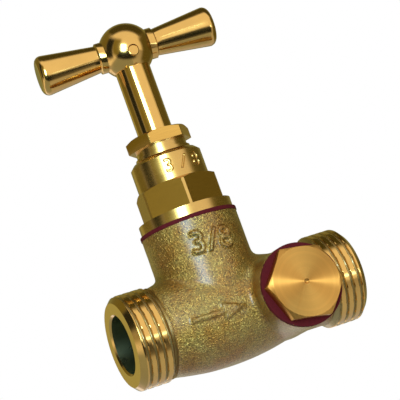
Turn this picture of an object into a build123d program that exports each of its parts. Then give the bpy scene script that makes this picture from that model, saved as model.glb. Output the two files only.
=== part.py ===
"""Brass screw-down shut-off valve with a drain plug and a tee handle.

Millimetres. The origin is the centre of the inlet face on the pipe axis, X runs with the flow,
Z runs up the spindle and the drain plug looks along -Y.
"""

import os
from math import cos, pi, radians, sin, sqrt, tan

from build123d import *

# Pipe ends with the G 1/2 parallel thread
pipe_thread_d = 20.955
pipe_bore_d = 12.8
end_chamfer = 1.15
inlet_length = 23.4
outlet_length = 31.2
inlet_thread_length = 8.2
outlet_thread_length = 8.3

# Cast barrel between the pipe ends
inlet_root_d = 19.6
belly_swell = 1.1
neck_d = 18.8
neck_start = 14.5

# Bonnet boss on the casting
boss_d = 21.8
boss_height = 20.3
boss_fillet = 1.9
boss_edge = 0.3
bonnet_thread_d = 18.0
thread_runout = 0.4
chamber_d = 16.0

# Seat and partition inside the casting
seat_floor = 1.0
seat_rise = 1.0
seat_ring_d = 11.4
seat_hole_d = 9.2
partition = 2.6
passage_d = 15.6
passage_start = 11.0
passage_end = 6.0
outlet_passage_d = 12.0
inlet_wall = 2.2
outlet_wall = 2.6

# Drain boss and its plug, G 1/4 parallel thread
drain_offset = 13.3
drain_drop = 0.9
drain_boss_d = 18.2
drain_boss_reach = 15.5
drain_fillet = 1.5
drain_edge = 0.4
plug_thread_d = 13.157
plug_thread_length = 5.6
drain_hole_depth = 6.3
drain_passage_d = 8.0
plug_head_af = 15.0
plug_head_height = 2.8
plug_turn = -8.9
plug_dimple_d = 1.2
plug_washer_d = 18.1
plug_washer_height = 1.2

# Bonnet
bonnet_washer_d = 22.1
bonnet_washer_height = 0.9
bonnet_flange_d = 21.1
bonnet_flange_height = 2.25
bonnet_hex_af = 16.8
bonnet_hex_height = 6.7
bonnet_turn = 22.8
bonnet_top_d = 16.1
bonnet_top_height = 6.55
bonnet_chamfer = 0.9

# Gland
stuffing_depth = 3.2
stuffing_wall = 1.2
gland_thread_d = 12.5
gland_thread_length = 2.4
gland_thread_showing = 0.9
gland_neck_d = 11.5
gland_neck_length = 1.65
gland_hex_af = 13.0
gland_hex_height = 2.75
gland_turn = -3.5

# Spindle
stem_d = 7.9
spindle_thread_d = 10.9
spindle_foot_d = 9.2
spindle_foot_length = 3.4
guide_depth = 8.2
valve_lift = 5.0
lift_margin = 0.4

# Jumper with its washer and nut
jumper_d = 13.0
jumper_height = 2.0
jumper_pin_d = 4.0
jumper_pin_length = 8.0
jumper_stud_d = 3.0
jumper_washer_d = 12.6
jumper_washer_height = 3.0
jumper_nut_af = 5.5
jumper_nut_height = 1.8

# Tee handle
handle_height = 62.3
handle_turn = -9.5
handle_length = 40.9
hub_d = 12.4
hub_flat = 4.6
collar_d = 7.0
collar_end = 6.5
arm_root = 6.8
arm_root_d = 6.1
arm_end_d = 9.35
arm_end_edge = 1.5
pin_d = 2.5
pin_drop = 1.8
pin_turn = -4.0

# Fits, radial
thread_clearance = 0.05
turning_clearance = 0.05
push_clearance = 0.02
washer_clearance = 0.1

# Turning outline of the hexagons: its slope, and how far it runs out past their corners
hex_chamfer_angle = 30.0
hex_margin = 0.5

# Worked out from the sizes above
pipe_r = pipe_thread_d / 2
pipe_bore_r = pipe_bore_d / 2
total_length = inlet_length + outlet_length
boss_r = boss_d / 2
belly_r = (boss_d + belly_swell) / 2
washer_top = boss_height + bonnet_washer_height
flange_top = washer_top + bonnet_flange_height
hex_top = flange_top + bonnet_hex_height
bonnet_top = hex_top + bonnet_top_height
stuffing_floor = bonnet_top - stuffing_depth
gland_thread_top = bonnet_top + gland_thread_showing
gland_foot = gland_thread_top - gland_thread_length
gland_hex_base = gland_thread_top + gland_neck_length
gland_top = gland_hex_base + gland_hex_height
seat_top = seat_floor + seat_rise
jumper_base = seat_top + jumper_washer_height
spindle_base = jumper_base + jumper_height
thread_base = spindle_base + spindle_foot_length
thread_top = stuffing_floor - stuffing_wall - valve_lift - lift_margin
bonnet_foot = spindle_base + valve_lift + lift_margin
spindle_top = handle_height + push_clearance
drain_x = inlet_length + drain_offset
drain_hole_floor = drain_boss_reach - drain_hole_depth
plug_base = drain_boss_reach + plug_washer_height
plug_face = plug_base + plug_head_height
pin_height = handle_height - pin_drop
pin_length = 2 * sqrt((hub_d / 2) ** 2 - pin_drop**2)

# Planes of the turned and drilled features
spindle_axis = Axis((inlet_length, 0, 0), (0, 0, 1))
spindle_section = Plane((inlet_length, 0, 0), x_dir=(1, 0, 0), z_dir=(0, -1, 0))
drain_axis = Axis((drain_x, 0, -drain_drop), (0, -1, 0))
drain_section = Plane((drain_x, 0, -drain_drop), x_dir=(1, 0, 0), z_dir=(0, 0, -1))
pin_direction = (sin(radians(pin_turn)), -cos(radians(pin_turn)), 0)
arm_direction = (cos(radians(handle_turn)), sin(radians(handle_turn)), 0)
pin_plane = Plane((inlet_length, 0, pin_height), x_dir=(0, 0, 1), z_dir=pin_direction)
handle_section = Plane((inlet_length, 0, handle_height), x_dir=arm_direction,
                       z_dir=(arm_direction[1], -arm_direction[0], 0))
handle_axis = Axis((inlet_length, 0, handle_height), arm_direction)


def spindle_plane(height):
    """Level plane across the spindle axis at a height above the pipe axis."""
    return Plane((inlet_length, 0, height))


def drain_plane(reach):
    """Upright plane across the drain axis at a distance in front of the pipe axis."""
    return Plane((drain_x, -reach, -drain_drop), x_dir=(1, 0, 0), z_dir=(0, -1, 0))


def pipe_plane(x):
    """Upright plane across the pipe axis, its own y pointing up."""
    return Plane((x, 0, 0), x_dir=(0, 1, 0), z_dir=(1, 0, 0))


def turned_hex(across_flats, base, top):
    """Half outline that turns off the upper corners of a hexagon."""
    flat_r = across_flats / 2
    outer_r = flat_r / cos(pi / 6) + hex_margin
    shoulder = top - (outer_r - flat_r) * tan(radians(hex_chamfer_angle))
    return [(0, base), (outer_r, base), (outer_r, shoulder), (flat_r, top), (0, top)]


# Casting: barrel, two bosses with their fillets, then the threaded ends and the passages
with BuildPart() as body:
    with BuildSketch(Plane.XZ):
        with BuildLine():
            barrel = ThreePointArc((inlet_thread_length, inlet_root_d / 2),
                                   (inlet_length, belly_r),
                                   (inlet_length + neck_start, neck_d / 2))
            Polyline(barrel @ 1, (total_length, neck_d / 2), (total_length, 0),
                     (inlet_thread_length, 0), barrel @ 0)
        make_face()
    revolve(axis=Axis.X)
    with BuildSketch(spindle_plane(seat_floor)):
        Circle(boss_r)
    extrude(amount=boss_height - seat_floor)
    boss_side = body.faces().filter_by(GeomType.CYLINDER).sort_by(Axis.Z)[-1]
    fillet(boss_side.edges().filter_by(GeomType.BSPLINE), boss_fillet)
    with BuildSketch(drain_section):
        with BuildLine():
            drain_back = JernArc((0, -drain_boss_d / 2), (1, 0), drain_boss_d / 2, 90)
            Polyline(drain_back @ 1, (drain_boss_d / 2, drain_boss_reach), (0, drain_boss_reach),
                     drain_back @ 0)
        make_face()
    revolve(axis=drain_axis)
    drain_sides = body.faces().filter_by(GeomType.CYLINDER).sort_by(Axis.Y)[:1]
    drain_sides += body.faces().filter_by(GeomType.SPHERE)
    fillet(drain_sides.edges().filter_by(GeomType.BSPLINE), drain_fillet)
    fillet(body.edges().filter_by(GeomType.CIRCLE).sort_by(Axis.Y)[0], drain_edge)
    fillet(body.edges().filter_by(GeomType.CIRCLE).sort_by(Axis.Z)[-1], boss_edge)
    with BuildSketch(Plane.XZ):
        with BuildLine():
            Polyline((0, 0), (0, pipe_r - end_chamfer), (end_chamfer, pipe_r),
                     (inlet_thread_length, pipe_r), (inlet_thread_length, 0), close=True)
        make_face()
        with BuildLine():
            Polyline((total_length, 0), (total_length, pipe_r - end_chamfer),
                     (total_length - end_chamfer, pipe_r),
                     (total_length - outlet_thread_length, pipe_r),
                     (total_length - outlet_thread_length, 0), close=True)
        make_face()
    revolve(axis=Axis.X)
    with BuildSketch(pipe_plane(0)):
        Circle(pipe_bore_r)
    extrude(amount=inlet_length - chamber_d / 2 - inlet_wall, mode=Mode.SUBTRACT)
    with BuildSketch(pipe_plane(total_length)):
        Circle(pipe_bore_r)
    extrude(amount=-(outlet_length - passage_end - outlet_wall), mode=Mode.SUBTRACT)
    with BuildSketch(pipe_plane(inlet_length - passage_start)):
        Circle(passage_d / 2)
        with Locations((0, seat_floor - partition)):
            Rectangle(passage_d, passage_d, align=(Align.CENTER, Align.MIN), mode=Mode.SUBTRACT)
    extrude(amount=passage_start + passage_end, mode=Mode.SUBTRACT)
    with BuildSketch(pipe_plane(inlet_length)):
        Circle(outlet_passage_d / 2)
        with Locations((0, seat_floor)):
            Rectangle(outlet_passage_d, outlet_passage_d, align=(Align.CENTER, Align.MAX), mode=Mode.SUBTRACT)
    extrude(amount=passage_end + outlet_wall, mode=Mode.SUBTRACT)
    with BuildSketch(spindle_plane(seat_floor)):
        Circle(chamber_d / 2)
    extrude(amount=boss_height - seat_floor, mode=Mode.SUBTRACT)
    with BuildSketch(spindle_plane(boss_height)):
        Circle(bonnet_thread_d / 2)
    extrude(amount=bonnet_foot - thread_runout - boss_height, mode=Mode.SUBTRACT)
    with BuildSketch(spindle_plane(seat_floor)):
        Circle(seat_ring_d / 2)
    extrude(amount=seat_rise)
    with BuildSketch(spindle_plane(seat_top)):
        Circle(seat_hole_d / 2)
    extrude(amount=-(seat_rise + partition + seat_floor), mode=Mode.SUBTRACT)
    with BuildSketch(drain_plane(drain_boss_reach)):
        Circle(plug_thread_d / 2 + thread_clearance)
    extrude(amount=-drain_hole_depth, mode=Mode.SUBTRACT)
    with BuildSketch(drain_plane(drain_hole_floor)):
        Circle(drain_passage_d / 2)
    extrude(amount=-drain_hole_floor, mode=Mode.SUBTRACT)

with BuildPart() as bonnet_washer:
    with BuildSketch(spindle_plane(boss_height)):
        Circle(bonnet_washer_d / 2)
        Circle(bonnet_thread_d / 2 + washer_clearance, mode=Mode.SUBTRACT)
    extrude(amount=bonnet_washer_height)

# Bonnet: hexagon turned off at its upper corners, then the round parts and the stepped bore
with BuildPart() as bonnet:
    with BuildSketch(spindle_plane(flange_top)):
        RegularPolygon(bonnet_hex_af / 2, 6, major_radius=False, rotation=bonnet_turn)
    extrude(amount=bonnet_hex_height)
    with BuildSketch(spindle_section):
        with BuildLine():
            Polyline(*turned_hex(bonnet_hex_af, flange_top, hex_top), close=True)
        make_face()
    revolve(axis=spindle_axis, mode=Mode.INTERSECT)
    with BuildSketch(spindle_section):
        with BuildLine():
            Polyline((0, bonnet_foot), (bonnet_thread_d / 2 - thread_clearance, bonnet_foot),
                     (bonnet_thread_d / 2 - thread_clearance, washer_top),
                     (bonnet_flange_d / 2, washer_top), (bonnet_flange_d / 2, flange_top),
                     (bonnet_top_d / 2, flange_top), (bonnet_top_d / 2, bonnet_top - bonnet_chamfer),
                     (bonnet_top_d / 2 - bonnet_chamfer, bonnet_top), (0, bonnet_top), close=True)
        make_face()
    revolve(axis=spindle_axis)
    with BuildSketch(spindle_section):
        with BuildLine():
            Polyline((0, bonnet_foot), (spindle_thread_d / 2 + turning_clearance, bonnet_foot),
                     (spindle_thread_d / 2 + turning_clearance, stuffing_floor - stuffing_wall),
                     (stem_d / 2 + turning_clearance, stuffing_floor - stuffing_wall),
                     (stem_d / 2 + turning_clearance, stuffing_floor),
                     (gland_thread_d / 2 + thread_clearance, stuffing_floor),
                     (gland_thread_d / 2 + thread_clearance, bonnet_top), (0, bonnet_top), close=True)
        make_face()
    revolve(axis=spindle_axis, mode=Mode.SUBTRACT)

with BuildPart() as gland_packing:
    with BuildSketch(spindle_plane(stuffing_floor)):
        Circle(gland_thread_d / 2)
        Circle(stem_d / 2 + turning_clearance, mode=Mode.SUBTRACT)
    extrude(amount=gland_foot - stuffing_floor)

with BuildPart() as gland_screw:
    with BuildSketch(spindle_plane(gland_hex_base)):
        RegularPolygon(gland_hex_af / 2, 6, major_radius=False, rotation=gland_turn)
    extrude(amount=gland_hex_height)
    with BuildSketch(spindle_section):
        with BuildLine():
            Polyline(*turned_hex(gland_hex_af, gland_hex_base, gland_top), close=True)
        make_face()
    revolve(axis=spindle_axis, mode=Mode.INTERSECT)
    with BuildSketch(spindle_plane(gland_hex_base)):
        Circle(gland_neck_d / 2)
    extrude(amount=-gland_neck_length)
    with BuildSketch(spindle_plane(gland_foot)):
        Circle(gland_thread_d / 2)
    extrude(amount=gland_thread_length)
    with BuildSketch(spindle_plane(gland_foot)):
        Circle(stem_d / 2 + turning_clearance)
    extrude(amount=gland_top - gland_foot, mode=Mode.SUBTRACT)

with BuildPart() as spindle:
    with BuildSketch(spindle_section):
        with BuildLine():
            Polyline((0, spindle_base), (spindle_foot_d / 2, spindle_base),
                     (spindle_foot_d / 2, thread_base), (spindle_thread_d / 2, thread_base),
                     (spindle_thread_d / 2, thread_top), (stem_d / 2, thread_top),
                     (stem_d / 2, spindle_top), (0, spindle_top), close=True)
        make_face()
    revolve(axis=spindle_axis)
    with BuildSketch(spindle_plane(spindle_base)):
        Circle(jumper_pin_d / 2 + turning_clearance)
    extrude(amount=guide_depth, mode=Mode.SUBTRACT)
    with BuildSketch(pin_plane):
        Circle(pin_d / 2 + push_clearance)
    extrude(amount=hub_d / 2, both=True, mode=Mode.SUBTRACT)

with BuildPart() as jumper:
    with BuildSketch(spindle_section):
        with BuildLine():
            Polyline((0, seat_top - jumper_nut_height), (jumper_stud_d / 2, seat_top - jumper_nut_height),
                     (jumper_stud_d / 2, jumper_base), (jumper_d / 2, jumper_base),
                     (jumper_d / 2, spindle_base), (jumper_pin_d / 2, spindle_base),
                     (jumper_pin_d / 2, spindle_base + jumper_pin_length),
                     (0, spindle_base + jumper_pin_length), close=True)
        make_face()
    revolve(axis=spindle_axis)

with BuildPart() as jumper_washer:
    with BuildSketch(spindle_plane(seat_top)):
        Circle(jumper_washer_d / 2)
        Circle(jumper_stud_d / 2 + push_clearance, mode=Mode.SUBTRACT)
    extrude(amount=jumper_washer_height)

with BuildPart() as jumper_nut:
    with BuildSketch(spindle_plane(seat_top)):
        RegularPolygon(jumper_nut_af / 2, 6, major_radius=False)
        Circle(jumper_stud_d / 2 + push_clearance, mode=Mode.SUBTRACT)
    extrude(amount=-jumper_nut_height)

# Handle: half outline turned about the bar, then the hub's flat, the socket and the pin hole
with BuildPart() as tee_handle:
    with BuildSketch(handle_section):
        with BuildLine():
            hub_edge = sqrt((hub_d / 2) ** 2 - (collar_d / 2) ** 2)
            hub_arc = ThreePointArc((-hub_edge, collar_d / 2), (0, hub_d / 2), (hub_edge, collar_d / 2))
            arm_points = [(collar_end, collar_d / 2), (arm_root, arm_root_d / 2),
                          (handle_length / 2, arm_end_d / 2), (handle_length / 2, 0)]
            Polyline(hub_arc @ 1, *arm_points)
            Polyline(hub_arc @ 0, *[(-along, out) for along, out in arm_points])
            Line((-handle_length / 2, 0), (handle_length / 2, 0))
        make_face()
    revolve(axis=handle_axis)
    fillet(tee_handle.faces().filter_by(GeomType.PLANE).edges(), arm_end_edge)
    with BuildSketch(spindle_plane(handle_height - hub_flat)):
        Circle(hub_d / 2)
    extrude(amount=-hub_d / 2, mode=Mode.SUBTRACT)
    with BuildSketch(spindle_plane(handle_height - hub_flat)):
        Circle(stem_d / 2 + push_clearance)
    extrude(amount=spindle_top - handle_height + hub_flat, mode=Mode.SUBTRACT)
    with BuildSketch(pin_plane):
        Circle(pin_d / 2 + push_clearance)
    extrude(amount=hub_d / 2, both=True, mode=Mode.SUBTRACT)

with BuildPart() as handle_pin:
    with BuildSketch(pin_plane):
        Circle(pin_d / 2)
    extrude(amount=pin_length / 2, both=True)

# Drain plug: hexagon turned off on its face, thread and centre mark
with BuildPart() as drain_plug:
    with BuildSketch(drain_plane(plug_base)):
        RegularPolygon(plug_head_af / 2, 6, major_radius=False, rotation=plug_turn)
    extrude(amount=plug_head_height)
    with BuildSketch(drain_section):
        with BuildLine():
            Polyline(*turned_hex(plug_head_af, plug_base, plug_face), close=True)
        make_face()
    revolve(axis=drain_axis, mode=Mode.INTERSECT)
    with BuildSketch(drain_plane(plug_base)):
        Circle(plug_thread_d / 2)
    extrude(amount=-(plug_washer_height + plug_thread_length))
    with BuildSketch(drain_section):
        with BuildLine():
            Polyline((0, plug_face), (plug_dimple_d / 2, plug_face),
                     (0, plug_face - plug_dimple_d / 2), close=True)
        make_face()
    revolve(axis=drain_axis, mode=Mode.SUBTRACT)

with BuildPart() as plug_washer:
    with BuildSketch(drain_plane(drain_boss_reach)):
        Circle(plug_washer_d / 2)
        Circle(plug_thread_d / 2 + washer_clearance, mode=Mode.SUBTRACT)
    extrude(amount=plug_washer_height)

body.part.label = "body"
bonnet_washer.part.label = "bonnet_washer"
bonnet.part.label = "bonnet"
gland_packing.part.label = "gland_packing"
gland_screw.part.label = "gland_screw"
spindle.part.label = "spindle"
jumper.part.label = "jumper"
jumper_washer.part.label = "jumper_washer"
jumper_nut.part.label = "jumper_nut"
tee_handle.part.label = "tee_handle"
handle_pin.part.label = "handle_pin"
drain_plug.part.label = "drain_plug"
plug_washer.part.label = "plug_washer"

os.makedirs("parts", exist_ok=True)
export_step(body.part, "parts/body.step")
export_step(bonnet_washer.part, "parts/bonnet_washer.step")
export_step(bonnet.part, "parts/bonnet.step")
export_step(gland_packing.part, "parts/gland_packing.step")
export_step(gland_screw.part, "parts/gland_screw.step")
export_step(spindle.part, "parts/spindle.step")
export_step(jumper.part, "parts/jumper.step")
export_step(jumper_washer.part, "parts/jumper_washer.step")
export_step(jumper_nut.part, "parts/jumper_nut.step")
export_step(tee_handle.part, "parts/tee_handle.step")
export_step(handle_pin.part, "parts/handle_pin.step")
export_step(drain_plug.part, "parts/drain_plug.step")
export_step(plug_washer.part, "parts/plug_washer.step")
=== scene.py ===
"""Looks of the brass shut-off valve: cast body, turned headwork, tee handle, plug and a plain studio.

Metres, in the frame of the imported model: the inlet face is at the origin, X runs with the flow,
Z runs up the spindle and the drain plug looks along -Y.
"""

from collections import namedtuple
from math import atan2, cos, degrees, floor, hypot, pi, radians, sin

import bmesh
import bpy
from bpy.props import FloatProperty, FloatVectorProperty, PointerProperty, StringProperty
from mathutils import Matrix, Vector, noise
from mathutils.bvhtree import BVHTree


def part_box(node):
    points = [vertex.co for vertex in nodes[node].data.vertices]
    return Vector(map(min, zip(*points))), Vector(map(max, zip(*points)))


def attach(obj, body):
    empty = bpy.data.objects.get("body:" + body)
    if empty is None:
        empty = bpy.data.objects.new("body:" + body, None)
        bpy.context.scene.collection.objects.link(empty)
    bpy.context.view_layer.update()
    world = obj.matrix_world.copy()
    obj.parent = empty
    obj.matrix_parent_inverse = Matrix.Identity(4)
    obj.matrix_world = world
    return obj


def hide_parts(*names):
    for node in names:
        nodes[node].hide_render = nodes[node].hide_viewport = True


bl_info = {
    "name": "Shut-off valve",
    "version": (1, 0, 0),
    "blender": (4, 5, 0),
    "location": "View3D > Sidebar > Valve",
    "description": "Dresses the shut-off valve: cast body, turned brass, fibre washers and a studio",
    "category": "Object",
}

MM = 0.001
MERGE = 0.002 * MM
SMOOTH_ANGLE = radians(28)
TURN_STEPS = 160
PITCH_STEPS = 18
CREST_GAIN = 1.4
# Faces deeper than this share of the thread depth below the crests take the thread roots' painted shade.
GROOVE_SHADE_SHARE = 0.3
RUNOUT_SHARE = 0.5
BORE_CHAMFER = 0.4 * MM
HEX_CORNER_ANGLE = 50
HEX_CORNER_LENGTH = 1.5 * MM
HEX_FLAT_AREA = 4 * MM * MM
UPRIGHT = 0.01
ENGRAVED_R = 8.05 * MM
ENGRAVED_LOW = 30.2 * MM
ENGRAVED_HIGH = 36.6 * MM
ENGRAVED_SPREAD = radians(48)
ENGRAVED_STEP = radians(1.25)
HUB_R = 6.2 * MM
ARM_TURN = radians(-9.5)

# Casting: how its raw form is evened out, and the waves and lumps in its skin.
ALLOWANCE = 2 * MM
BOSS_RIM = 0.5 * MM
RAW_COARSENESS = 1.2
RAW_SMOOTHING = 9
SKIN_SMOOTHING = 2
RIPPLE_LENGTH = 2.6 * MM
LUMP_LENGTH = 1.3 * MM
LUMP_HEIGHT = 0.13 * MM
LUMP_REACH = 0.5 * MM
# Faces that turn towards the pipe axis by more than this share take the water way's painted shade.
INWARD_SHADE_SHARE = 0.25

# Marks: numerals round the spindle and the arrow on the barrel.
Mark = namedtuple("Mark", "bold taper step lean tilt middle")
CAST_MARK = Mark(bold=0.07 * MM, taper=0.0, step=3.05 * MM, lean=radians(5), tilt=radians(-5),
                 middle=radians(-1.0))
CUT_MARK = Mark(bold=0.14 * MM, taper=0.22 * MM, step=3.4 * MM, lean=radians(12), tilt=0.0,
                middle=radians(6.4))
LONG_EDGE = 0.8 * MM
BOSS_R = 10.9 * MM
BARREL_R = 11.4 * MM
ARROW_TAIL = -10.5 * MM
ARROW_TIP = 1.4 * MM
ARROW_LEVEL = -0.8 * MM
ARROW_SHAFT = 1.0 * MM
ARROW_HEAD = 3.6 * MM
ARROW_HEAD_LENGTH = 4.6 * MM
ARROW_THICKNESS = 1.1 * MM

# Studio: directions in degrees from the camera's side, sizes in metres.
OLIVE = (1.0, 0.95, 0.30)
COOL = (0.80, 0.95, 1.0)
SKY = (0.50, 0.75, 1.0)
CARD_FADE = 0.24
FLOOR_SIDE = 3.0
STAGE_LEVEL = 25 * MM
LAMP_DISTANCE = 0.5
View = namedtuple("View", "right up line")
Lamp = namedtuple("Lamp", "name azimuth elevation width height colour")
SOFTBOX = Lamp("softbox", azimuth=-9, elevation=12, width=0.17, height=0.26, colour=(0.46, 0.74, 1.0))
PLUG_LAMP = Lamp("plug lamp", azimuth=-7.2, elevation=25.4, width=0.05, height=0.05, colour=(0.70, 0.86, 1.0))
Card = namedtuple("Card", "name azimuth elevation distance width height level tint")
CARDS = (
    Card("card_front", 3, -17, 0.54, 1.30, 0.51, 0.02, COOL),
    Card("card_mid_left", -39, 15, 0.56, 0.40, 0.90, 0.24, OLIVE),
    Card("card_left", -71, 10, 0.54, 0.42, 1.00, 0.03, COOL),
    Card("card_far_left", -115, 10, 0.60, 0.90, 1.20, 0.18, OLIVE),
    Card("card_right", 108, 10, 0.50, 0.92, 1.20, 0.12, OLIVE),
    Card("card_back", 180, 12, 0.56, 1.50, 1.20, 0.22, OLIVE),
    Card("card_face", -139, -11, 0.50, 0.22, 0.40, 0.42, OLIVE),
    Card("card_glint", 42, 9, 0.50, 0.22, 0.06, 6.0, SKY),
    Card("card_top", 180, 66, 0.60, 1.60, 0.86, 0.07, OLIVE),
    Card("card_below", 0, -78, 0.60, 1.70, 1.50, 0.40, COOL),
)

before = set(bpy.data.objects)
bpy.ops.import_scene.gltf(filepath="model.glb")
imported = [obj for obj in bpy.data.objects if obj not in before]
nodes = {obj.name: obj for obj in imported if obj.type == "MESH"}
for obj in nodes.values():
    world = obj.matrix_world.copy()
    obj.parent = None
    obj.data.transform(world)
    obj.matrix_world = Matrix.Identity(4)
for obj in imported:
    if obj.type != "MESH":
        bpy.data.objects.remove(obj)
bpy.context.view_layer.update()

body_low, body_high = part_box("body")
bonnet_low, bonnet_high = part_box("bonnet")
plug_low, plug_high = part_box("drain_plug")
handle_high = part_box("tee_handle")[1]
pipe_length = body_high.x
spindle_x = (bonnet_low.x + bonnet_high.x) / 2
plug_axis = Vector(((plug_low.x + plug_high.x) / 2, 0, (plug_low.z + plug_high.z) / 2))
handle_axis_z = handle_high.z - HUB_R


class ValveBodySettings(bpy.types.PropertyGroup):
    """Sizes of the casting, its threads and its marks."""

    thread_r: FloatProperty(name="Thread radius", description="Outer radius of the pipe thread",
                            default=10.4775 * MM, unit="LENGTH")
    thread_depth: FloatProperty(name="Thread depth", description="Depth of the pipe thread",
                                default=0.52 * MM, unit="LENGTH")
    thread_pitch: FloatProperty(name="Thread pitch", description="Axial distance from crest to crest",
                                default=1.814 * MM, unit="LENGTH")
    end_chamfer: FloatProperty(name="End chamfer", description="Chamfer on the pipe end",
                               default=1.15 * MM, unit="LENGTH")
    bore_r: FloatProperty(name="Bore radius", description="Radius of the water way at the pipe ends",
                          default=6.4 * MM, unit="LENGTH")
    inlet_thread: FloatProperty(name="Inlet thread", description="Length of the inlet's threaded end",
                                default=8.2 * MM, unit="LENGTH")
    outlet_thread: FloatProperty(name="Outlet thread", description="Length of the outlet's threaded end",
                                 default=8.3 * MM, unit="LENGTH")
    relief_r: FloatProperty(name="Relief radius", description="Radius of the groove behind the thread",
                            default=9.25 * MM, unit="LENGTH")
    relief: FloatProperty(name="Relief", description="Length of the groove behind the thread",
                          default=0.35 * MM, unit="LENGTH")
    voxel: FloatProperty(name="Skin grain", description="Mesh size of the cast skin",
                         default=0.26 * MM, unit="LENGTH")
    ripple: FloatProperty(name="Ripple", description="Height of the waves in the cast skin",
                          default=0.035 * MM, unit="LENGTH")
    size_text: StringProperty(name="Size numerals", description="Size mark on boss and bonnet",
                              default="3/8")
    cast_text_size: FloatProperty(name="Cast numerals", description="Letter size of the cast numerals",
                                  default=6.9 * MM, unit="LENGTH")
    cast_text_z: FloatProperty(name="Cast numerals' level", description="Level of the cast numerals' middle",
                               default=14.4 * MM, unit="LENGTH")
    cast_text_rise: FloatProperty(name="Cast relief", description="How far cast numerals stand out",
                                  default=0.7 * MM, unit="LENGTH")
    cut_text_size: FloatProperty(name="Cut numerals", description="Letter size of the engraved numerals",
                                 default=4.3 * MM, unit="LENGTH")
    cut_text_z: FloatProperty(name="Cut numerals' level",
                              description="Level of the engraved numerals' middle",
                              default=33.1 * MM, unit="LENGTH")
    cut_text_depth: FloatProperty(name="Cut depth", description="Depth of the engraved numerals",
                                  default=0.24 * MM, unit="LENGTH")
    hex_strip: FloatProperty(name="Corner strip", description="How far the bonnet's hexagon corners are cut",
                             default=0.36 * MM, unit="LENGTH")


class ValveFinishSettings(bpy.types.PropertyGroup):
    """Colours of the finishes."""

    polished: FloatVectorProperty(name="Polished brass", description="Turned and polished brass",
                                  default=(0.88, 0.50, 0.11), subtype="COLOR", min=0, max=1)
    plug: FloatVectorProperty(name="Plug brass", description="Faced brass of the drain plug",
                              default=(0.77, 0.39, 0.085), subtype="COLOR", min=0, max=1)
    satin: FloatVectorProperty(name="Satin brass", description="Milled and turned brass",
                               default=(0.76, 0.44, 0.10), subtype="COLOR", min=0, max=1)
    cast: FloatVectorProperty(name="Cast brass", description="Blasted sand casting",
                              default=(0.50, 0.33, 0.075), subtype="COLOR", min=0, max=1)
    cast_dark: FloatVectorProperty(name="Cast brass, dark", description="Stained patches of the casting",
                                   default=(0.45, 0.212, 0.033), subtype="COLOR", min=0, max=1)
    # Bore and cored water way: dull brass whose grey-green colour, unlike brass, is painted shade inside the
    # pipe.
    bore: FloatVectorProperty(name="Bore", description="Dull drilled brass",
                              default=(0.40, 0.42, 0.22), subtype="COLOR", min=0, max=1)
    # Thread roots: duller brass whose darker, greyer colour is painted shade between the crests.
    groove: FloatVectorProperty(name="Thread groove", description="Dull brass between the thread's crests",
                                default=(0.56, 0.39, 0.14), subtype="COLOR", min=0, max=1)
    rubber: FloatVectorProperty(name="Rubber", description="Black rubber of the jumper's washer",
                                default=(0.012, 0.012, 0.012), subtype="COLOR", min=0, max=1)
    packing: FloatVectorProperty(name="Packing", description="Greased packing round the stem",
                                 default=(0.45, 0.42, 0.34), subtype="COLOR", min=0, max=1)
    fibre: FloatVectorProperty(name="Fibre", description="Pressed red fibre",
                               default=(0.11, 0.008, 0.010), subtype="COLOR", min=0, max=1)
    floor: FloatVectorProperty(name="Floor", description="Pale studio floor",
                               default=(0.92, 0.92, 0.92), subtype="COLOR", min=0, max=1)


class ValveStageSettings(bpy.types.PropertyGroup):
    """Camera, floor and lamps of the studio."""

    camera_place: FloatVectorProperty(name="Camera", description="Camera position",
                                      default=(-101.69 * MM, -336.11 * MM, -32.66 * MM), unit="LENGTH")
    camera_aim: FloatVectorProperty(name="Aim", description="Point in the middle of the picture",
                                    default=(20.85 * MM, -18.30 * MM, 22.14 * MM), unit="LENGTH")
    camera_roll: FloatProperty(name="Roll", description="Turn of the camera about its view",
                               default=radians(-19.95), unit="ROTATION")
    lens: FloatProperty(name="Lens", description="Focal length in millimetres on a 36 mm sensor",
                        default=149.22)
    floor_z: FloatProperty(name="Floor level", description="Level of the floor",
                           default=-650 * MM, unit="LENGTH")
    softbox: FloatProperty(name="Softbox", description="Power of the main lamp in watts", default=2.3)
    plug_lamp: FloatProperty(name="Plug lamp", description="Power of the plug's own lamp in watts",
                             default=0.9)


def new_object(bm, name):
    """An object at the origin that takes over a bmesh."""
    mesh = bpy.data.meshes.new(name)
    bm.to_mesh(mesh)
    bm.free()
    mesh.shade_smooth()
    mesh.set_sharp_from_angle(angle=SMOOTH_ANGLE)
    piece = bpy.data.objects.new(name, mesh)
    bpy.context.scene.collection.objects.link(piece)
    return piece


def merged_copy(node):
    """A bmesh copy of a node with its loose triangles joined."""
    bm = bmesh.new()
    bm.from_mesh(nodes[node].data)
    bmesh.ops.remove_doubles(bm, verts=bm.verts, dist=MERGE)
    return bm


def strip_corners(bm, axis, width):
    """Cuts a narrow flat on every long corner of a hexagon that stands along an axis."""
    corners = []
    for edge in bm.edges:
        along = edge.verts[1].co - edge.verts[0].co
        if len(edge.link_faces) == 2 and abs(along.dot(axis)) > 0.999 * along.length:
            if degrees(edge.calc_face_angle()) > HEX_CORNER_ANGLE and along.length > HEX_CORNER_LENGTH:
                corners.append(edge)
    bmesh.ops.bevel(bm, geom=corners, offset=width, offset_type="OFFSET", segments=1, profile=0.5,
                    affect="EDGES", clamp_overlap=True, material=-1)


def mark_flats(bm, axis):
    """Gives the second material to the large flats along an axis."""
    for face in bm.faces:
        upright = abs(face.normal.dot(axis)) < UPRIGHT
        if upright and face.calc_area() > HEX_FLAT_AREA and len(face.verts) > 4:
            face.material_index = 1


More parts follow.
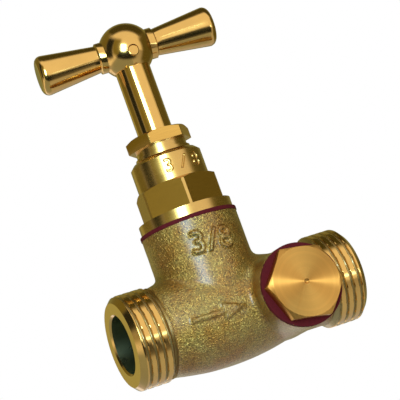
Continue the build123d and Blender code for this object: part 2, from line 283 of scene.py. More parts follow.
def finer_barrel(bm, radius, low, high, spread, step):
    """Gives the front of a barrel round the spindle finer facets, on its true radius."""
    front = []
    for face in bm.faces:
        middle = face.calc_center_median()
        out = hypot(middle.x - spindle_x, middle.y)
        on_barrel = abs(out - radius) < 0.1 * MM and abs(face.normal.z) < UPRIGHT
        if on_barrel and low < middle.z < high and middle.y < 0:
            front.append(face)
    rims = {edge for face in front for edge in face.edges}
    points = {vert for face in front for vert in face.verts}
    geom = front + list(rims) + list(points)
    count = int(spread / step)
    for index in range(-count, count + 1):
        angle = index * step
        geom = bmesh.ops.bisect_plane(bm, geom=geom, dist=MERGE, plane_co=(spindle_x, 0, 0),
                                      plane_no=(cos(angle), sin(angle), 0))["geom"]
    for vert in (item for item in geom if isinstance(item, bmesh.types.BMVert)):
        scale = radius / hypot(vert.co.x - spindle_x, vert.co.y)
        vert.co.x = spindle_x + (vert.co.x - spindle_x) * scale
        vert.co.y *= scale


def eased_copy(node, name, width, hex_axis=None, strip=0.0, cutter=None):
    """A copy of a node that replaces it, with its flats joined, its edges eased and a mark cut into it."""
    bm = merged_copy(node)
    bmesh.ops.dissolve_limit(bm, angle_limit=radians(0.3), use_dissolve_boundaries=False,
                             verts=bm.verts, edges=bm.edges)
    if hex_axis:
        strip_corners(bm, hex_axis, strip)
        mark_flats(bm, hex_axis)
    if cutter:
        finer_barrel(bm, ENGRAVED_R, ENGRAVED_LOW, ENGRAVED_HIGH, ENGRAVED_SPREAD, ENGRAVED_STEP)
    piece = new_object(bm, name)
    bevel = piece.modifiers.new("Eased edges", "BEVEL")
    bevel.limit_method = "ANGLE"
    bevel.angle_limit = SMOOTH_ANGLE
    bevel.width = width
    bevel.segments = 2
    bevel.harden_normals = cutter is None
    if cutter:
        cut_into(piece, cutter, ENGRAVED_R)
    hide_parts(node)
    return piece


def cut_into(piece, cutter, radius):
    """Takes the form of a cutter out of a round piece for good, and keeps its barrel smooth."""
    cut = piece.modifiers.new("Mark", "BOOLEAN")
    cut.operation = "DIFFERENCE"
    cut.solver = "MANIFOLD"
    cut.object = cutter
    bpy.context.view_layer.update()
    old = piece.data
    mesh = bpy.data.meshes.new_from_object(piece.evaluated_get(bpy.context.evaluated_depsgraph_get()))
    piece.modifiers.clear()
    piece.data = mesh
    mesh.name = old.name
    bpy.data.meshes.remove(old)
    form = cutter.data
    bpy.data.objects.remove(cutter)
    bpy.data.meshes.remove(form)
    mesh.set_sharp_from_angle(angle=SMOOTH_ANGLE)
    even = piece.modifiers.new("Even shading", "WEIGHTED_NORMAL")
    even.keep_sharp = True
    bpy.context.view_layer.update()
    shaded = piece.evaluated_get(bpy.context.evaluated_depsgraph_get())
    normals = [corner.vector.copy() for corner in shaded.to_mesh().corner_normals]
    shaded.to_mesh_clear()
    piece.modifiers.clear()
    for face in mesh.polygons:
        spokes = [mesh.vertices[vertex].co - Vector((spindle_x, 0, 0)) for vertex in face.vertices]
        if abs(face.normal.z) < 0.05 and all(abs(spoke.xy.length - radius) < 0.02 * MM for spoke in spokes):
            for corner, spoke in zip(face.loop_indices, spokes):
                normals[corner] = Vector((spoke.x, spoke.y, 0)).normalized()
    mesh.normals_split_custom_set(normals)


def finish(piece, materials, body):
    """Gives a piece its materials and its body; each face keeps its choice of material."""
    mesh = piece.data
    choices = [face.material_index for face in mesh.polygons]
    mesh.materials.clear()
    for material in materials:
        mesh.materials.append(material)
    mesh.polygons.foreach_set("material_index", choices)
    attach(piece, body)


def add_node(material, kind, **inputs):
    """A node with some of its inputs set."""
    node = material.node_tree.nodes.new(kind)
    for key, value in inputs.items():
        node.inputs[key].default_value = value
    return node


def link(material, source, target):
    """Joins two sockets."""
    material.node_tree.links.new(source, target)


def new_material(name, metallic):
    """A material, with its shader, that starts from a plain metal or a plain solid."""
    material = bpy.data.materials.new(name)
    material.use_nodes = True
    bsdf = material.node_tree.nodes["Principled BSDF"]
    bsdf.inputs["Metallic"].default_value = metallic
    return material, bsdf


def tinted(material, bsdf, factor, low, high):
    """Base colour that runs between two tones with a factor."""
    mix = material.node_tree.nodes.new("ShaderNodeMix")
    mix.data_type = "RGBA"
    mix.inputs["A"].default_value = (*low, 1)
    mix.inputs["B"].default_value = (*high, 1)
    link(material, factor, mix.inputs["Factor"])
    link(material, mix.outputs["Result"], bsdf.inputs["Base Color"])
    return mix.outputs["Result"]


def ranged(material, value, low, high, socket, start=0.0, end=1.0):
    """Sends a value to a socket, spread from its own start and end to two others."""
    spread = material.node_tree.nodes.new("ShaderNodeMapRange")
    spread.inputs["From Min"].default_value = start
    spread.inputs["From Max"].default_value = end
    spread.inputs["To Min"].default_value = low
    spread.inputs["To Max"].default_value = high
    link(material, value, spread.inputs["Value"])
    link(material, spread.outputs["Result"], socket)


def lathe_coordinate(material, centre, turn):
    """Distance from a turning axis and place along it, as a vector, and the plain position."""
    place = material.node_tree.nodes.new("ShaderNodeTexCoord")
    mapping = material.node_tree.nodes.new("ShaderNodeMapping")
    mapping.vector_type = "TEXTURE"
    mapping.inputs["Location"].default_value = centre
    mapping.inputs["Rotation"].default_value = turn
    split = material.node_tree.nodes.new("ShaderNodeSeparateXYZ")
    square = add_node(material, "ShaderNodeCombineXYZ")
    length = material.node_tree.nodes.new("ShaderNodeVectorMath")
    length.operation = "LENGTH"
    join = add_node(material, "ShaderNodeCombineXYZ")
    link(material, place.outputs["Object"], mapping.inputs["Vector"])
    link(material, mapping.outputs["Vector"], split.inputs["Vector"])
    link(material, split.outputs["X"], square.inputs["X"])
    link(material, split.outputs["Y"], square.inputs["Y"])
    link(material, square.outputs["Vector"], length.inputs[0])
    link(material, length.outputs["Value"], join.inputs["X"])
    link(material, split.outputs["Z"], join.inputs["Z"])
    return join.outputs["Vector"], place.outputs["Object"]


def turned_brass(name, colour, centre, turn, roughness, mark_depth):
    """Brass off the lathe: rings of fine tool marks round the turning axis and a faint tarnish."""
    material, bsdf = new_material(name, 1.0)
    ring, place = lathe_coordinate(material, centre, turn)
    rings = add_node(material, "ShaderNodeTexNoise", Scale=4200.0, Detail=3.0, Roughness=0.6)
    tarnish = add_node(material, "ShaderNodeTexNoise", Scale=260.0, Detail=4.0, Roughness=0.6)
    bump = add_node(material, "ShaderNodeBump", Strength=1.0, Distance=mark_depth)
    link(material, ring, rings.inputs["Vector"])
    link(material, place, tarnish.inputs["Vector"])
    link(material, rings.outputs["Fac"], bump.inputs["Height"])
    link(material, bump.outputs["Normal"], bsdf.inputs["Normal"])
    shade = [0.80 * c for c in colour]
    tinted(material, bsdf, tarnish.outputs["Fac"], shade, colour)
    ranged(material, tarnish.outputs["Fac"], roughness * 0.7, roughness * 1.3, bsdf.inputs["Roughness"])
    bsdf.inputs["Coat Weight"].default_value = 0.7
    bsdf.inputs["Coat Roughness"].default_value = 0.14
    return material


def faced_brass(name, colour, centre, turn, roughness, mark_depth):
    """Brass off a facing cut: open rings round the axis, across which a highlight is drawn out."""
    material, bsdf = new_material(name, 1.0)
    ring, place = lathe_coordinate(material, centre, turn)
    rings = add_node(material, "ShaderNodeTexNoise", Scale=1500.0, Detail=3.0, Roughness=0.7)
    bump = add_node(material, "ShaderNodeBump", Strength=1.0, Distance=mark_depth)
    spoke = add_node(material, "ShaderNodeVectorMath")
    spoke.operation = "SUBTRACT"
    spoke.inputs[1].default_value = centre
    link(material, ring, rings.inputs["Vector"])
    link(material, rings.outputs["Fac"], bump.inputs["Height"])
    link(material, bump.outputs["Normal"], bsdf.inputs["Normal"])
    link(material, place, spoke.inputs[0])
    link(material, spoke.outputs["Vector"], bsdf.inputs["Tangent"])
    tinted(material, bsdf, rings.outputs["Fac"], [0.72 * c for c in colour], colour)
    bsdf.inputs["Roughness"].default_value = roughness
    bsdf.inputs["Anisotropic"].default_value = 0.95
    return material


def milled_brass(name, colour, roughness):
    """Brass off the milling cutter or the draw bench: fine straight marks across the flats."""
    material, bsdf = new_material(name, 1.0)
    place = material.node_tree.nodes.new("ShaderNodeTexCoord").outputs["Object"]
    stretch = add_node(material, "ShaderNodeMapping", Scale=(260.0, 260.0, 4200.0))
    marks = add_node(material, "ShaderNodeTexNoise", Scale=1.0, Detail=3.0, Roughness=0.6)
    bump = add_node(material, "ShaderNodeBump", Strength=1.0, Distance=0.012 * MM)
    link(material, place, stretch.inputs["Vector"])
    link(material, stretch.outputs["Vector"], marks.inputs["Vector"])
    link(material, marks.outputs["Fac"], bump.inputs["Height"])
    link(material, bump.outputs["Normal"], bsdf.inputs["Normal"])
    tinted(material, bsdf, marks.outputs["Fac"], [0.75 * c for c in colour], colour)
    bsdf.inputs["Roughness"].default_value = roughness
    return material


def cast_brass(name, colour, dark):
    """Blasted casting: a grainy skin with sparkle, and stained patches."""
    material, bsdf = new_material(name, 1.0)
    place = material.node_tree.nodes.new("ShaderNodeTexCoord").outputs["Object"]
    grain = add_node(material, "ShaderNodeTexNoise", Scale=2800.0, Detail=3.0, Roughness=0.6)
    pits = add_node(material, "ShaderNodeTexNoise", Scale=1100.0, Detail=2.0, Roughness=0.5)
    stain = add_node(material, "ShaderNodeTexNoise", Scale=170.0, Detail=5.0, Roughness=0.62)
    for texture in (grain, pits, stain):
        link(material, place, texture.inputs["Vector"])
    coarse = add_node(material, "ShaderNodeBump", Strength=1.0, Distance=0.06 * MM)
    fine = add_node(material, "ShaderNodeBump", Strength=1.0, Distance=0.36 * MM)
    link(material, pits.outputs["Fac"], coarse.inputs["Height"])
    link(material, grain.outputs["Fac"], fine.inputs["Height"])
    link(material, coarse.outputs["Normal"], fine.inputs["Normal"])
    link(material, fine.outputs["Normal"], bsdf.inputs["Normal"])
    patches = material.node_tree.nodes.new("ShaderNodeMapRange")
    patches.inputs["From Min"].default_value = 0.38
    patches.inputs["From Max"].default_value = 0.62
    link(material, stain.outputs["Fac"], patches.inputs["Value"])
    tone = tinted(material, bsdf, patches.outputs["Result"], dark, colour)
    speckle = add_node(material, "ShaderNodeVectorMath")
    speckle.operation = "SCALE"
    link(material, tone, speckle.inputs[0])
    ranged(material, grain.outputs["Fac"], 0.45, 1.60, speckle.inputs["Scale"], 0.32, 0.68)
    link(material, speckle.outputs["Vector"], bsdf.inputs["Base Color"])
    ranged(material, grain.outputs["Fac"], 0.44, 0.22, bsdf.inputs["Roughness"], 0.32, 0.68)
    bsdf.inputs["Coat Weight"].default_value = 0.8
    bsdf.inputs["Coat Roughness"].default_value = 0.30
    return material


def fibre_board(name, colour):
    """Pressed fibre: dull, with a fleck."""
    material, bsdf = new_material(name, 0.0)
    place = material.node_tree.nodes.new("ShaderNodeTexCoord").outputs["Object"]
    fleck = add_node(material, "ShaderNodeTexNoise", Scale=1800.0, Detail=3.0, Roughness=0.6)
    bump = add_node(material, "ShaderNodeBump", Strength=0.4, Distance=0.04 * MM)
    link(material, place, fleck.inputs["Vector"])
    link(material, fleck.outputs["Fac"], bump.inputs["Height"])
    link(material, bump.outputs["Normal"], bsdf.inputs["Normal"])
    tinted(material, bsdf, fleck.outputs["Fac"], [0.6 * c for c in colour], [1.4 * c for c in colour])
    bsdf.inputs["Roughness"].default_value = 0.75
    bsdf.inputs["Specular IOR Level"].default_value = 0.12
    return material


def glyph(letter, size, depth, bold, taper):
    """A thick mesh of one letter about the XY plane, narrower by a taper at its two faces."""
    curve = bpy.data.curves.new("glyph", "FONT")
    curve.body = letter
    curve.size = size
    curve.extrude = depth - taper
    curve.bevel_depth = taper
    curve.bevel_resolution = 0
    curve.offset = bold - taper
    curve.align_x = "CENTER"
    curve.align_y = "CENTER"
    curve.resolution_u = 5
    letters = bpy.data.objects.new("glyph", curve)
    bpy.context.scene.collection.objects.link(letters)
    bpy.context.view_layer.update()
    mesh = bpy.data.meshes.new_from_object(letters.evaluated_get(bpy.context.evaluated_depsgraph_get()))
    bpy.data.objects.remove(letters)
    bm = bmesh.new()
    bm.from_mesh(mesh)
    bpy.data.meshes.remove(mesh)
    bmesh.ops.remove_doubles(bm, verts=bm.verts, dist=MERGE)
    return bm


def size_mark(text, size, depth, style):
    """Numerals side by side in the XY plane about the origin, with the stroke between them leaning over."""
    mark = bmesh.new()
    for index, letter in enumerate(text):
        bm = glyph(letter, size, depth, style.bold, style.taper)
        if letter == "/":
            bmesh.ops.rotate(bm, verts=bm.verts, cent=(0, 0, 0), matrix=Matrix.Rotation(-style.lean, 3, "Z"))
        bmesh.ops.translate(bm, verts=bm.verts, vec=((index - (len(text) - 1) / 2) * style.step, 0, 0))
        add_mesh(mark, bm)
    long_edges = [edge for edge in mark.edges if edge.calc_length() > LONG_EDGE]
    bmesh.ops.subdivide_edges(mark, edges=long_edges, cuts=6)
    bmesh.ops.triangulate(mark, faces=mark.faces)
    bmesh.ops.recalc_face_normals(mark, faces=mark.faces)
    bmesh.ops.rotate(mark, verts=mark.verts, cent=(0, 0, 0), matrix=Matrix.Rotation(style.tilt, 3, "Z"))
    return mark


def wrap_round_spindle(bm, skin, middle, level, reach):
    """Lays a flat mesh round the spindle axis on a skin, its middle at an angle from -Y and a level."""
    for vert in bm.verts:
        angle = middle + vert.co.x / reach
        out = Vector((sin(angle), -cos(angle), 0))
        axis_point = Vector((spindle_x, 0, level + vert.co.y))
        hit = skin.ray_cast(axis_point + out * 2 * reach, -out)[0]
        vert.co = hit + out * vert.co.z


def wrap_on_barrel(bm, skin, reach):
    """Lays a flat mesh round the pipe axis on a skin: X stays, Y becomes an angle up from -Y."""
    for vert in bm.verts:
        angle = vert.co.y / reach
        out = Vector((0, -cos(angle), sin(angle)))
        hit = skin.ray_cast(Vector((vert.co.x, 0, 0)) + out * 2 * reach, -out)[0]
        vert.co = hit + out * vert.co.z


def flow_arrow():
    """A flat, thick arrow along X, with extra points along its shaft so that it can bend."""
    bm = bmesh.new()
    tail = spindle_x + ARROW_TAIL
    tip = spindle_x + ARROW_TIP
    neck = tip - ARROW_HEAD_LENGTH
    shaft = ARROW_SHAFT / 2
    head = ARROW_HEAD / 2
    outline = [(tail, -shaft), (neck, -shaft), (neck, -head), (tip, 0),
               (neck, head), (neck, shaft), (tail, shaft)]
    face = bm.faces.new([bm.verts.new((x, ARROW_LEVEL + y, -ARROW_THICKNESS / 2)) for x, y in outline])
    raised = bmesh.ops.extrude_face_region(bm, geom=[face])
    top = [item for item in raised["geom"] if isinstance(item, bmesh.types.BMVert)]
    bmesh.ops.translate(bm, verts=top, vec=(0, 0, ARROW_THICKNESS))
    long_edges = [edge for edge in bm.edges if edge.calc_length() > ARROW_SHAFT * 2]
    bmesh.ops.subdivide_edges(bm, edges=long_edges, cuts=4)
    bmesh.ops.triangulate(bm, faces=bm.faces)
    bmesh.ops.recalc_face_normals(bm, faces=bm.faces)
    return bm


def add_mesh(bm, other):
    """Moves another bmesh into this one."""
    mesh = bpy.data.meshes.new("part")
    other.to_mesh(mesh)
    other.free()
    bm.from_mesh(mesh)
    bpy.data.meshes.remove(mesh)


def remeshed(bm, voxel):
    """A bmesh of the joined skin of everything in another one."""
    mesh = bpy.data.meshes.new("rough")
    bm.to_mesh(mesh)
    bm.free()
    rough = bpy.data.objects.new("rough", mesh)
    bpy.context.scene.collection.objects.link(rough)
    remesh = rough.modifiers.new("Skin", "REMESH")
    remesh.mode = "VOXEL"
    remesh.voxel_size = voxel
    bpy.context.view_layer.update()
    skin = bmesh.new()
    skin.from_object(rough, bpy.context.evaluated_depsgraph_get())
    bpy.data.objects.remove(rough)
    bpy.data.meshes.remove(mesh)
    return skin


def cut_off(bm, place, way):
    """Cuts a mesh at a place, removes what lies along the way from there and closes the cut."""
    cut = bmesh.ops.bisect_plane(bm, geom=bm.verts[:] + bm.edges[:] + bm.faces[:], dist=MERGE,
                                 plane_co=place, plane_no=way, clear_outer=True)
    rim = [item for item in cut["geom_cut"] if isinstance(item, bmesh.types.BMEdge)]
    bmesh.ops.triangle_fill(bm, edges=rim, use_beauty=True, normal=way)


def machining_allowance(bm, extra):
    """Lets the two boss faces stand proud, as on a raw casting."""
    for vert in bm.verts:
        if vert.co.z > body_high.z - BOSS_RIM:
            vert.co.z += extra
        if vert.co.y < body_low.y + BOSS_RIM:
            vert.co.y -= extra


def smooth_skin(bm, times):
    """Evens out a skin."""
    for _ in range(times):
        bmesh.ops.smooth_vert(bm, verts=bm.verts, factor=0.5, use_axis_x=True, use_axis_y=True,
                              use_axis_z=True)
    bm.normal_update()


def ripple_skin(bm, height, marks, lumps):
    """Gives a cast skin the slow waves of sand moulding, and larger lumps where its marks are."""
    for vert in bm.verts:
        wave = height * noise.noise(vert.co / RIPPLE_LENGTH)
        if marks.find_nearest(vert.co, LUMP_REACH)[0]:
            wave += lumps * noise.noise(vert.co / LUMP_LENGTH)
        vert.co += vert.normal * wave


class VALVE_OT_casting(bpy.types.Operator):
    """Cast skin of the body with its raised numerals and flow arrow"""

    bl_idname = "valve.casting"
    bl_label = "Casting"

    def execute(self, context):
        sizes = context.scene.valve_body
        colours = context.scene.valve_finish
        bm = merged_copy("body")
        machining_allowance(bm, ALLOWANCE)
        bm = remeshed(bm, sizes.voxel * RAW_COARSENESS)
        smooth_skin(bm, RAW_SMOOTHING)
        skin = BVHTree.FromBMesh(bm)
        text = size_mark(sizes.size_text, sizes.cast_text_size, sizes.cast_text_rise, CAST_MARK)
        wrap_round_spindle(text, skin, CAST_MARK.middle, sizes.cast_text_z, BOSS_R)
        arrow = flow_arrow()
        wrap_on_barrel(arrow, skin, BARREL_R)
        add_mesh(text, arrow)
        marks = BVHTree.FromBMesh(text)
        add_mesh(bm, text)
        bm = remeshed(bm, sizes.voxel)
        smooth_skin(bm, SKIN_SMOOTHING)
        ripple_skin(bm, sizes.ripple, marks, LUMP_HEIGHT)
        cut_off(bm, (sizes.inlet_thread + sizes.relief, 0, 0), (-1, 0, 0))
        cut_off(bm, (pipe_length - sizes.outlet_thread - sizes.relief, 0, 0), (1, 0, 0))
        cut_off(bm, (0, 0, body_high.z), (0, 0, 1))
        cut_off(bm, (0, body_low.y, 0), (0, -1, 0))
        # Faces inside the pipe take the water way's finish; its grey-green colour is painted shade.
        for face in bm.faces:
            middle = face.calc_center_median()
            out = hypot(middle.y, middle.z)
            inward = middle.y * face.normal.y + middle.z * face.normal.z < -INWARD_SHADE_SHARE * out
            if inward or out < sizes.bore_r + MM:
                face.material_index = 1
        casting = new_object(bm, "casting")
        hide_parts("body")
        skin_finish = cast_brass("cast brass", colours.cast, colours.cast_dark)
        # The water way's colour and its darker tone are painted shade inside the pipe.
        shaded_water_way = cast_brass("cored water way painted shade", colours.bore, [0.6 * c for c in colours.bore])
        finish(casting, [skin_finish, shaded_water_way], "valve")
        return {"FINISHED"}


def threaded_end(name, face_x, inward, length, sizes):
    """A machined pipe end: bore, face, chamfer, right-hand thread and the groove behind it."""
    crest = sizes.thread_r
    root = crest - sizes.thread_depth
    back = length + sizes.relief
    step = sizes.thread_pitch / PITCH_STEPS
    runout = length - RUNOUT_SHARE * sizes.thread_pitch
    outline = [(back, sizes.bore_r), (BORE_CHAMFER, sizes.bore_r), (0, sizes.bore_r + BORE_CHAMFER),
               (0, crest - sizes.end_chamfer)]
    count = int(length / step)
    for index in range(1, count + 1):
        place = length * index / count
        limit = min(crest, crest - sizes.end_chamfer + place)
        if place > runout:
            limit = crest - (crest - sizes.relief_r) * (place - runout) / (length - runout)
        outline.append((place, limit))
    outline.append((back, sizes.relief_r))
    bm = bmesh.new()
    ring = [bm.verts.new((face_x + inward * along, out, 0)) for along, out in outline]
    edges = [bm.edges.new((a, b)) for a, b in zip(ring, ring[1:] + ring[:1])]
    bmesh.ops.spin(bm, geom=ring + edges, cent=(0, 0, 0), axis=(1, 0, 0), dvec=(0, 0, 0), angle=2 * pi,
                   steps=TURN_STEPS, use_merge=True, use_duplicate=False)
    for vert in bm.verts:
        out = hypot(vert.co.y, vert.co.z)
        if out > root and abs(vert.co.x - face_x) > MERGE:
            turn = vert.co.x / sizes.thread_pitch - atan2(vert.co.z, vert.co.y) / (2 * pi)
            ridge = min(1.0, CREST_GAIN * (1 + cos(2 * pi * (turn - floor(turn)))))
            scale = min(out, root + sizes.thread_depth * ridge) / out
            vert.co.y *= scale
            vert.co.z *= scale
    # Bore faces take a colour that is painted shade inside the pipe; faces in the thread roots take a darker
    # colour that is painted shade between the crests.
    for face in bm.faces:
        middle = face.calc_center_median()
        out = hypot(middle.y, middle.z)
        if out < sizes.bore_r + MERGE:
            face.material_index = 1
        elif abs(middle.x - face_x) > sizes.end_chamfer and out < crest - GROOVE_SHADE_SHARE * sizes.thread_depth:
            face.material_index = 2
    bmesh.ops.recalc_face_normals(bm, faces=bm.faces)
    return new_object(bm, name)


class VALVE_OT_pipe_ends(bpy.types.Operator):
    """Threaded pipe ends of the body"""

    bl_idname = "valve.pipe_ends"
    bl_label = "Pipe ends"

    def execute(self, context):
        sizes = context.scene.valve_body
        colours = context.scene.valve_finish
        centre = (0, 0, 0)
        along_pipe = (0, radians(90), 0)
        brass = turned_brass("machined pipe end", colours.polished, centre, along_pipe, roughness=0.14,
                             mark_depth=0.004 * MM)
        # The bore's grey-green colour is painted shade inside the pipe.
        bore = turned_brass("drilled bore painted shade", colours.bore, centre, along_pipe, roughness=0.30,
                            mark_depth=0.01 * MM)
        # The thread roots' darker, greyer colour is painted shade between the crests.
        groove = turned_brass("thread groove painted shade", colours.groove, centre, along_pipe, roughness=0.40,
                              mark_depth=0.004 * MM)
        for name, face_x, inward, length in (("inlet_end", 0, 1, sizes.inlet_thread),
                                             ("outlet_end", pipe_length, -1, sizes.outlet_thread)):
            end = threaded_end(name, face_x, inward, length, sizes)
            finish(end, [brass, bore, groove], "valve")
        return {"FINISHED"}


class VALVE_OT_headwork(bpy.types.Operator):
    """Bonnet, gland screw and spindle"""

    bl_idname = "valve.headwork"
    bl_label = "Headwork"

    def execute(self, context):
        colours = context.scene.valve_finish
        centre = (spindle_x, 0, 0)
        upright = (0, 0, 0)
        satin = turned_brass("satin headwork", colours.satin, centre, upright, roughness=0.26,
                             mark_depth=0.006 * MM)
        flats = milled_brass("milled flats", colours.polished, roughness=0.20)
        bright = turned_brass("polished spindle", colours.polished, centre, upright, roughness=0.13,
                              mark_depth=0.003 * MM)
        rise = Vector((0, 0, 1))
        sizes = context.scene.valve_body
        text = size_mark(sizes.size_text, sizes.cut_text_size, sizes.cut_text_depth, CUT_MARK)
        skin = BVHTree.FromBMesh(merged_copy("bonnet"))
        wrap_round_spindle(text, skin, CUT_MARK.middle, sizes.cut_text_z, ENGRAVED_R)
        bonnet = eased_copy("bonnet", "bonnet_turned", width=0.14 * MM, hex_axis=rise, strip=sizes.hex_strip,
                            cutter=new_object(text, "engraving"))
        finish(bonnet, [satin, flats], "valve")
        gland = eased_copy("gland_screw", "gland_turned", width=0.10 * MM, hex_axis=rise, strip=0.15 * MM)
        finish(gland, [satin, flats], "valve")
        spindle = eased_copy("spindle", "spindle_turned", width=0.10 * MM)
        finish(spindle, [bright], "spindle")
        return {"FINISHED"}


class VALVE_OT_handle(bpy.types.Operator):
    """Tee handle and its cross pin"""

    bl_idname = "valve.handle"
    bl_label = "Tee handle"

    def execute(self, context):
        colour = context.scene.valve_finish.polished
        centre = (spindle_x, 0, handle_axis_z)
        along_arms = (0, radians(90), ARM_TURN)
        brass = turned_brass("polished handle", colour, centre, along_arms, roughness=0.15,
                             mark_depth=0.003 * MM)
        handle = eased_copy("tee_handle", "handle_turned", width=0.12 * MM)
        finish(handle, [brass], "spindle")
        pin = eased_copy("handle_pin", "pin_turned", width=0.25 * MM)
        finish(pin, [brass], "spindle")
        return {"FINISHED"}


class VALVE_OT_plug(bpy.types.Operator):
    """Drain plug with the rings of its facing cut"""

    bl_idname = "valve.plug"
    bl_label = "Drain plug"

    def execute(self, context):
        colour = context.scene.valve_finish.plug
        along_plug = (radians(90), 0, 0)
        brass = faced_brass("faced plug", colour, plug_axis, along_plug, roughness=0.36,
                            mark_depth=0.008 * MM)
        flats = milled_brass("milled plug flats", colour, roughness=0.30)
        plug = eased_copy("drain_plug", "plug_faced", width=0.08 * MM, hex_axis=Vector((0, 1, 0)),
                          strip=0.1 * MM)
        finish(plug, [brass, flats], "valve")
        return {"FINISHED"}


class VALVE_OT_washers(bpy.types.Operator):
    """Fibre washers under bonnet and plug"""

    bl_idname = "valve.washers"
    bl_label = "Fibre washers"

    def execute(self, context):
        fibre = fibre_board("red fibre", context.scene.valve_finish.fibre)
        for node, name, width in (("bonnet_washer", "bonnet_washer_fibre", 0.12 * MM),
                                  ("plug_washer", "plug_washer_fibre", 0.15 * MM)):
            finish(eased_copy(node, name, width), [fibre], "valve")
        return {"FINISHED"}


class VALVE_OT_inside(bpy.types.Operator):
    """Finishes of the pieces inside the valve"""

    bl_idname = "valve.inside"
    bl_label = "Inner pieces"

    def execute(self, context):
        colours = context.scene.valve_finish
        brass = turned_brass("inner brass", colours.satin, (spindle_x, 0, 0), (0, 0, 0), roughness=0.25,
                             mark_depth=0.004 * MM)
        rubber = fibre_board("black rubber", colours.rubber)
        packing = fibre_board("greased packing", colours.packing)
        for node, material in (("jumper", brass), ("jumper_nut", brass), ("jumper_washer", rubber),
                               ("gland_packing", packing)):
            nodes[node].data.materials.clear()
            nodes[node].data.materials.append(material)
        return {"FINISHED"}


def plain_finish(name, colour):
    """A dull studio surface with a faint mottle."""
    material, bsdf = new_material(name, 0.0)
    place = material.node_tree.nodes.new("ShaderNodeTexCoord").outputs["Object"]
    mottle = add_node(material, "ShaderNodeTexNoise", Scale=6.0, Detail=2.0)
    link(material, place, mottle.inputs["Vector"])
    tinted(material, bsdf, mottle.outputs["Fac"], [0.97 * c for c in colour], colour)
    bsdf.inputs["Roughness"].default_value = 0.9
    bsdf.inputs["Specular IOR Level"].default_value = 0.1
    return material


def glowing_card(name, level, tint):
    """An even grey for reflections, which fades out towards its edges."""
    material, bsdf = new_material(name, 0.0)
    bsdf.inputs["Base Color"].default_value = (0, 0, 0, 1)
    bsdf.inputs["Specular IOR Level"].default_value = 0.0
    bsdf.inputs["Emission Color"].default_value = (*tint, 1)
    bsdf.inputs["Emission Strength"].default_value = level
    split = add_node(material, "ShaderNodeSeparateXYZ")
    link(material, add_node(material, "ShaderNodeTexCoord").outputs["UV"], split.inputs["Vector"])
    both = add_node(material, "ShaderNodeMath")
    both.operation = "MULTIPLY"
    for index, side in enumerate("XY"):
        edge = add_node(material, "ShaderNodeMath")
        edge.operation = "PINGPONG"
        edge.inputs[1].default_value = 0.5
        ramp = add_node(material, "ShaderNodeMapRange")
        ramp.interpolation_type = "SMOOTHSTEP"
        ramp.inputs["From Max"].default_value = CARD_FADE
        link(material, split.outputs[side], edge.inputs[0])
        link(material, edge.outputs["Value"], ramp.inputs["Value"])
        link(material, ramp.outputs["Result"], both.inputs[index])
    link(material, both.outputs["Value"], bsdf.inputs["Alpha"])
    return material


def flat_panel(name, place, facing, width, height, material, turn_up):
    """A stage panel at a place that faces along a direction."""
    across = facing.cross(turn_up).normalized()
    rise = across.cross(facing).normalized()
    bm = bmesh.new()
    bm.loops.layers.uv.new("UVMap")
    bmesh.ops.create_grid(bm, x_segments=8, y_segments=8, size=0.5, calc_uvs=True)
    columns = Matrix((across * width, rise * height, across.cross(rise))).transposed().to_4x4()
    bmesh.ops.transform(bm, verts=bm.verts, matrix=Matrix.Translation(place) @ columns)
    panel = new_object(bm, name)
    panel.data.materials.append(material)
    return panel


def place_camera(scene, settings):
    """Sets up the camera and gives its right, its up and its line of sight."""
    place = Vector(settings.camera_place)
    line = (Vector(settings.camera_aim) - place).normalized()
    level_right = line.cross(Vector((0, 0, 1))).normalized()
    level_up = level_right.cross(line)
    right = level_right * cos(settings.camera_roll) + level_up * sin(settings.camera_roll)
    up = right.cross(line)
    camera_data = bpy.data.cameras.new("camera")
    camera_data.sensor_width = 36
    camera_data.lens = settings.lens
    camera_data.clip_start = 10 * MM
    camera = bpy.data.objects.new("camera", camera_data)
    camera.matrix_world = Matrix.Translation(place) @ Matrix((right, up, -line)).transposed().to_4x4()
    scene.collection.objects.link(camera)
    scene.camera = camera
    return View(right, up, line)


def direction(view, azimuth, elevation):
    """A direction seen from the object: azimuth to the picture's right of the camera, elevation up."""
    level = cos(radians(elevation))
    return (view.right * sin(radians(azimuth)) * level + view.up * sin(radians(elevation))
            - view.line * cos(radians(azimuth)) * level)


def reflected_card(card, view, middle):
    """A card that only reflections see."""
    way = direction(view, card.azimuth, card.elevation)
    glow = glowing_card(card.name, card.level, card.tint)
    panel = flat_panel(card.name, middle + way * card.distance, -way, card.width, card.height, glow, view.up)
    panel.visible_camera = False
    panel.visible_diffuse = False
    panel.visible_shadow = False


def area_lamp(lamp, power, target, view):
    """A rectangular lamp that looks at a target."""
    data = bpy.data.lights.new(lamp.name, "AREA")
    data.shape = "RECTANGLE"
    data.size = lamp.width
    data.size_y = lamp.height
    data.energy = power
    data.color = lamp.colour
    light = bpy.data.objects.new(lamp.name, data)
    way = direction(view, lamp.azimuth, lamp.elevation)
    across = view.up.cross(way).normalized()
    light.matrix_world = (Matrix.Translation(target + way * LAMP_DISTANCE)
                          @ Matrix((across, way.cross(across), way)).transposed().to_4x4())
    bpy.context.scene.collection.objects.link(light)
    return light


def light_apart(piece, own_lamp, main_lamp):
    """Lets one lamp light only a piece, and the other everything else."""
    piece_only = bpy.data.collections.new("lit by the plug lamp")
    piece_only.objects.link(piece)
    own_lamp.light_linking.receiver_collection = piece_only
    all_else = bpy.data.collections.new("lit by the softbox")
    all_else.objects.link(piece)
    all_else.collection_objects[0].light_linking.link_state = "EXCLUDE"
    main_lamp.light_linking.receiver_collection = all_else


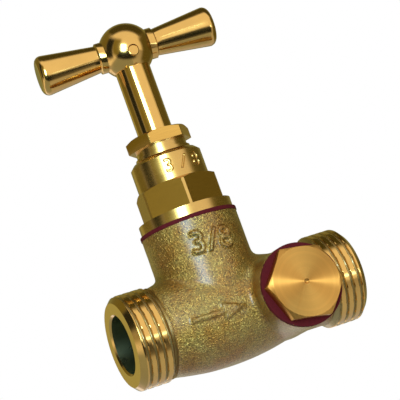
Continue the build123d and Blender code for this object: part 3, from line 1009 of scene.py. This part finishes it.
def white_surroundings(scene):
    """A white world for camera and reflections, and a softer one for scattered light."""
    world = bpy.data.worlds.new("studio")
    world.use_nodes = True
    scene.world = world
    tree = world.node_tree
    seen = tree.nodes["Background"]
    soft = tree.nodes.new("ShaderNodeBackground")
    for background, strength in ((seen, 1.0), (soft, 0.5)):
        background.inputs["Color"].default_value = (1, 1, 1, 1)
        background.inputs["Strength"].default_value = strength
    path = tree.nodes.new("ShaderNodeLightPath")
    direct = tree.nodes.new("ShaderNodeMath")
    direct.operation = "MAXIMUM"
    mix = tree.nodes.new("ShaderNodeMixShader")
    tree.links.new(path.outputs["Is Camera Ray"], direct.inputs[0])
    tree.links.new(path.outputs["Is Glossy Ray"], direct.inputs[1])
    tree.links.new(direct.outputs["Value"], mix.inputs["Fac"])
    tree.links.new(soft.outputs["Background"], mix.inputs[1])
    tree.links.new(seen.outputs["Background"], mix.inputs[2])
    tree.links.new(mix.outputs["Shader"], tree.nodes["World Output"].inputs["Surface"])


class VALVE_OT_studio(bpy.types.Operator):
    """Camera, floor, cards, lamps and white surroundings"""

    bl_idname = "valve.studio"
    bl_label = "Studio"

    def execute(self, context):
        scene = context.scene
        settings = scene.valve_stage
        view = place_camera(scene, settings)
        middle = Vector((spindle_x, 0, STAGE_LEVEL))
        for card in CARDS:
            reflected_card(card, view, middle)
        pale = plain_finish("floor", scene.valve_finish.floor)
        below = Vector((spindle_x, 0, settings.floor_z))
        flat_panel("floor", below, Vector((0, 0, 1)), FLOOR_SIDE, FLOOR_SIDE, pale, Vector((0, 1, 0)))
        softbox = area_lamp(SOFTBOX, settings.softbox, middle, view)
        plug_face = Vector((plug_axis.x, plug_low.y, plug_axis.z))
        plug_lamp = area_lamp(PLUG_LAMP, settings.plug_lamp, plug_face, view)
        light_apart(bpy.data.objects["plug_faced"], plug_lamp, softbox)
        white_surroundings(scene)
        scene.view_settings.view_transform = "Standard"
        return {"FINISHED"}


class VALVE_PT_panel(bpy.types.Panel):
    """Lists the pieces of the valve"""

    bl_idname = "VALVE_PT_panel"
    bl_label = "Shut-off valve"
    bl_space_type = "VIEW_3D"
    bl_region_type = "UI"
    bl_category = "Valve"

    def draw(self, context):
        for operator in OPERATORS:
            self.layout.operator(operator.bl_idname)
        for group in (context.scene.valve_body, context.scene.valve_finish, context.scene.valve_stage):
            box = self.layout.box()
            for name in group.__annotations__:
                box.prop(group, name)


OPERATORS = (VALVE_OT_casting, VALVE_OT_pipe_ends, VALVE_OT_headwork, VALVE_OT_handle, VALVE_OT_plug,
             VALVE_OT_washers, VALVE_OT_inside, VALVE_OT_studio)
SETTINGS = (ValveBodySettings, ValveFinishSettings, ValveStageSettings)


def register():
    for item in SETTINGS + OPERATORS + (VALVE_PT_panel,):
        bpy.utils.register_class(item)
    bpy.types.Scene.valve_body = PointerProperty(type=ValveBodySettings)
    bpy.types.Scene.valve_finish = PointerProperty(type=ValveFinishSettings)
    bpy.types.Scene.valve_stage = PointerProperty(type=ValveStageSettings)


def unregister():
    del bpy.types.Scene.valve_stage
    del bpy.types.Scene.valve_finish
    del bpy.types.Scene.valve_body
    for item in reversed(SETTINGS + OPERATORS + (VALVE_PT_panel,)):
        bpy.utils.unregister_class(item)


def main():
    """Makes every piece in order."""
    register()
    bpy.ops.valve.casting()
    bpy.ops.valve.pipe_ends()
    bpy.ops.valve.headwork()
    bpy.ops.valve.handle()
    bpy.ops.valve.plug()
    bpy.ops.valve.washers()
    bpy.ops.valve.inside()
    bpy.ops.valve.studio()


if __name__ == "__main__":
    main()
